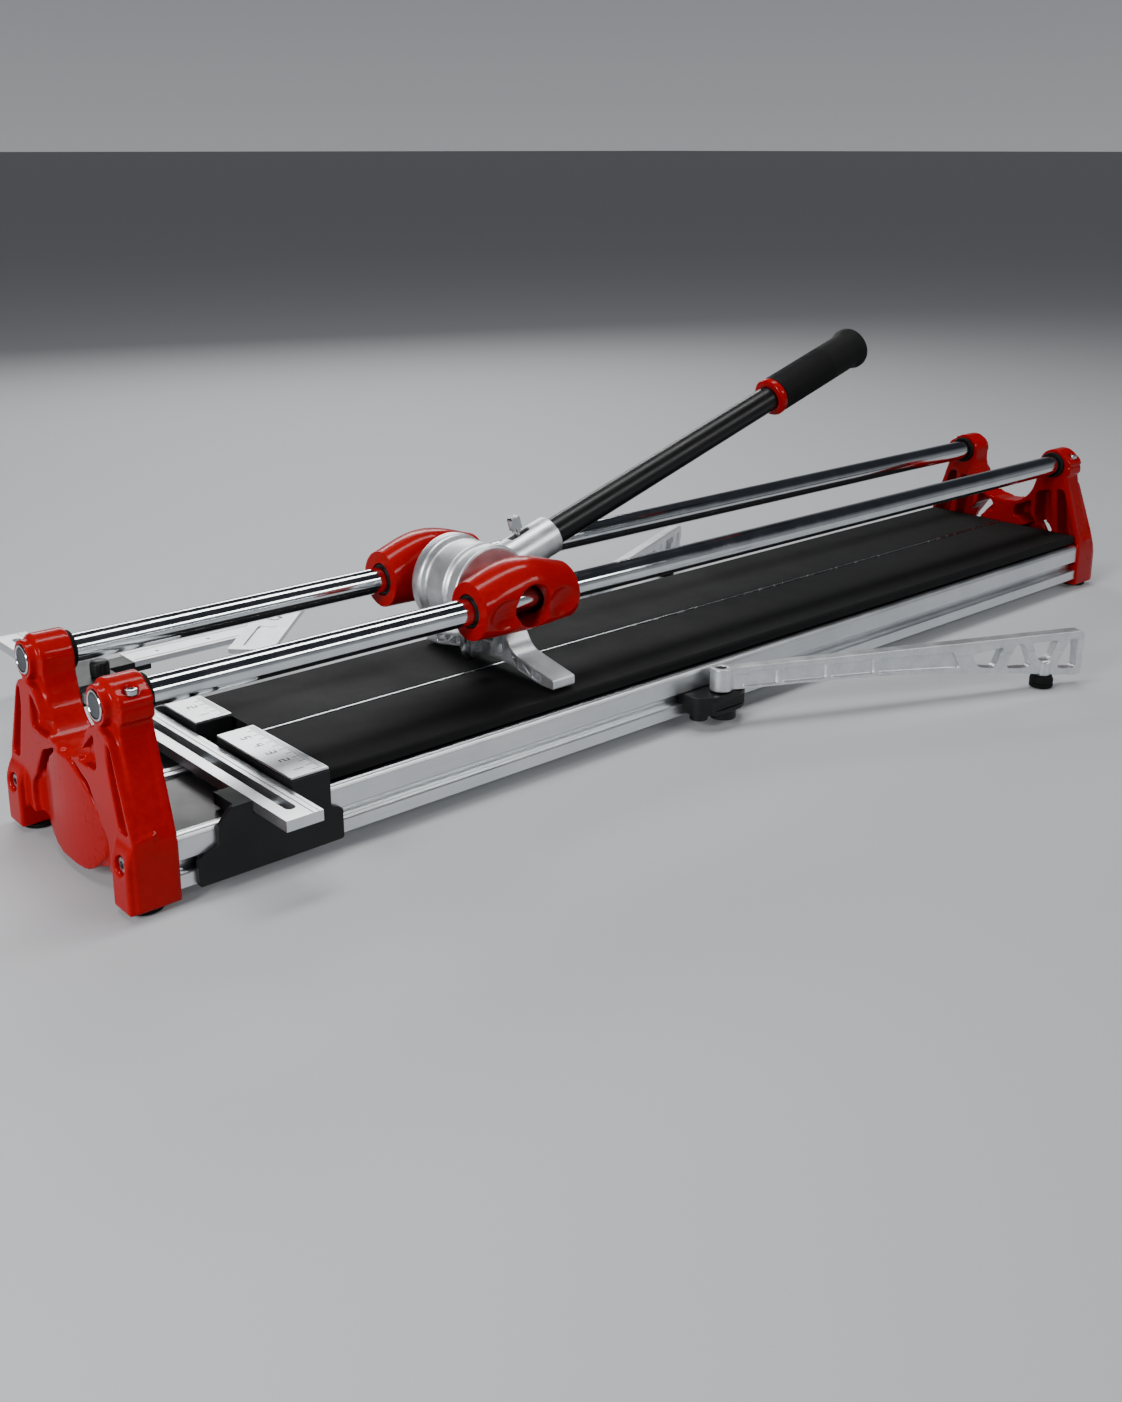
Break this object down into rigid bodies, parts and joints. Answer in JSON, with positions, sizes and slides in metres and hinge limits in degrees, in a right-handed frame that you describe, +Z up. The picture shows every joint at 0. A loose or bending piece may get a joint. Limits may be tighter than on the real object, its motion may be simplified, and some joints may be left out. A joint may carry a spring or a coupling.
{
  "type": "manual tile cutter",
  "caption": "Manual tile cutter: padded table on an extruded base, guide rails on end frames, a sliding carriage with scoring lever and breaker foot, a sliding ruler and swing-out side arms.",
  "frame": {"origin": "on the floor under the centre of the overall bounds: midway along the base and 47.6 mm to the left of the cutting line", "axes": "+X along the cut, from the ruler end to the plain end; +Y across the table, to the left when looking along +X; +Z up"},
  "size_m": [1.335, 0.6948, 0.3484],
  "materials": {
    "red_enamel": "gloss",
    "chromed_steel": "polished",
    "extruded_aluminium": "satin",
    "cast_aluminium": "cast",
    "bright_steel": "satin",
    "black_plastic": "matte",
    "black_rubber": "matte",
    "grey_plastic": "matte",
    "black_paint": "satin"
  },
  "bodies": {
    "frame": {"base_extrusion": "extruded_aluminium", "breaking_rib": "bright_steel", "near_end_frame": "red_enamel", "far_end_frame": "red_enamel", "guide_rail_right": "chromed_steel", "guide_rail_left": "chromed_steel", "ruler_carrier_right": "black_plastic", "ruler_carrier_left": "black_plastic", "scale_plate_right": "extruded_aluminium", "scale_plate_left": "extruded_aluminium", "rail_plug_near_right": "grey_plastic", "rail_plug_near_left": "grey_plastic", "rail_plug_far_right": "grey_plastic", "rail_plug_far_left": "grey_plastic", "rail_collar_near_right": "black_rubber", "rail_collar_near_left": "black_rubber", "rail_collar_far_right": "black_rubber", "rail_collar_far_left": "black_rubber", "head_screw_near_right": "bright_steel", "head_screw_near_left": "bright_steel", "head_screw_far_right": "bright_steel", "head_screw_far_left": "bright_steel", "leg_bolt_near_right": "bright_steel", "leg_bolt_near_left": "bright_steel", "leg_bolt_far_right": "bright_steel", "leg_bolt_far_left": "bright_steel", "foot_near_right": "black_rubber", "foot_near_left": "black_rubber", "foot_far_right": "black_rubber", "foot_far_left": "black_rubber"},
    "right_table": {"table_pad_right": "black_rubber"},
    "left_table": {"table_pad_left": "black_rubber"},
    "carriage": {"slide_cover_right": "red_enamel", "slide_cover_left": "red_enamel", "slide_bush_front_right": "black_plastic", "slide_bush_front_left": "black_plastic", "slide_bush_rear_right": "black_plastic", "slide_bush_rear_left": "black_plastic", "pivot_shaft": "bright_steel"},
    "lever": {"lever_head": "cast_aluminium", "wheel_holder": "bright_steel", "lever_tube": "black_paint", "lever_collar": "red_enamel", "lever_grip": "black_rubber"},
    "wheel": {"scoring_wheel": "bright_steel"},
    "tube_clamp": {"tube_clamp_screw": "bright_steel"},
    "breaker": {"breaker_foot": "cast_aluminium"},
    "ruler": {"ruler_bar": "extruded_aluminium"},
    "lateral_stop": {"stop_slider": "black_plastic", "stop_bar": "extruded_aluminium"},
    "knob": {"stop_knob": "black_plastic"},
    "angle_fence": {"angle_plate": "cast_aluminium"},
    "right_bracket": {"arm_bracket_right": "black_plastic"},
    "left_bracket": {"arm_bracket_left": "black_plastic"},
    "right_arm": {"side_arm_right": "cast_aluminium", "arm_foot_right": "black_rubber"},
    "left_arm": {"side_arm_left": "cast_aluminium", "arm_foot_left": "black_rubber"}
  },
  "joints": [
    {"name": "carriage_slide", "type": "slide", "parent": "frame", "child": "carriage", "axis": [1, 0, 0], "range_m": [-0.235, 0.785]},
    {"name": "lever_lift", "type": "hinge", "parent": "carriage", "child": "lever", "pos_m": [-0.2645, -0.04756, 0.1545], "axis": [0, -1, 0], "range_deg": [0, 40]},
    {"name": "breaker_tilt", "type": "hinge", "parent": "lever", "child": "breaker", "pos_m": [-0.23291, -0.04756, 0.10586], "axis": [0, -1, 0], "range_deg": [-6, 6]},
    {"name": "wheel_spin", "type": "hinge", "parent": "lever", "child": "wheel", "pos_m": [-0.2645, -0.04756, 0.0905], "axis": [0, 1, 0], "continuous": true},
    {"name": "tube_clamp_turn", "type": "hinge", "parent": "lever", "child": "tube_clamp", "pos_m": [-0.20152, -0.04756, 0.17424], "axis": [-0.299, 0, 0.9542], "range_deg": [0, 360]},
    {"name": "right_table_press", "type": "hinge", "parent": "frame", "child": "right_table", "pos_m": [-0.6625, -0.05156, 0.06], "axis": [1, 0, 0], "range_deg": [0, 1.1], "stiffness_Nm_per_rad": 400, "springref_deg": -1.15},
    {"name": "left_table_press", "type": "hinge", "parent": "frame", "child": "left_table", "pos_m": [-0.6625, -0.04356, 0.06], "axis": [-1, 0, 0], "range_deg": [0, 1.1], "stiffness_Nm_per_rad": 400, "springref_deg": -1.15},
    {"name": "ruler_slide", "type": "slide", "parent": "frame", "child": "ruler", "axis": [0, 1, 0], "range_m": [-0.04, 0.045]},
    {"name": "stop_slide", "type": "slide", "parent": "ruler", "child": "lateral_stop", "axis": [0, 1, 0], "range_m": [0, 0.11]},
    {"name": "stop_knob_turn", "type": "hinge", "parent": "lateral_stop", "child": "knob", "pos_m": [-0.5385, 0.15744, 0.075], "axis": [0, 0, 1], "range_deg": [0, 360]},
    {"name": "angle_swivel", "type": "hinge", "parent": "lateral_stop", "child": "angle_fence", "pos_m": [-0.323, 0.20894, 0.0663], "axis": [0, 0, 1], "range_deg": [-45, 45]},
    {"name": "right_bracket_slide", "type": "slide", "parent": "frame", "child": "right_bracket", "axis": [1, 0, 0], "range_m": [-0.35, 0.55]},
    {"name": "right_arm_swing", "type": "hinge", "parent": "right_bracket", "child": "right_arm", "pos_m": [-0.0575, -0.17556, 0.036], "axis": [0, 0, 1], "range_deg": [-66, 24]},
    {"name": "left_bracket_slide", "type": "slide", "parent": "frame", "child": "left_bracket", "axis": [1, 0, 0], "range_m": [-0.35, 0.55]},
    {"name": "left_arm_swing", "type": "hinge", "parent": "left_bracket", "child": "left_arm", "pos_m": [-0.0575, 0.08044, 0.036], "axis": [0, 0, -1], "range_deg": [-66, 24]}
  ]
}
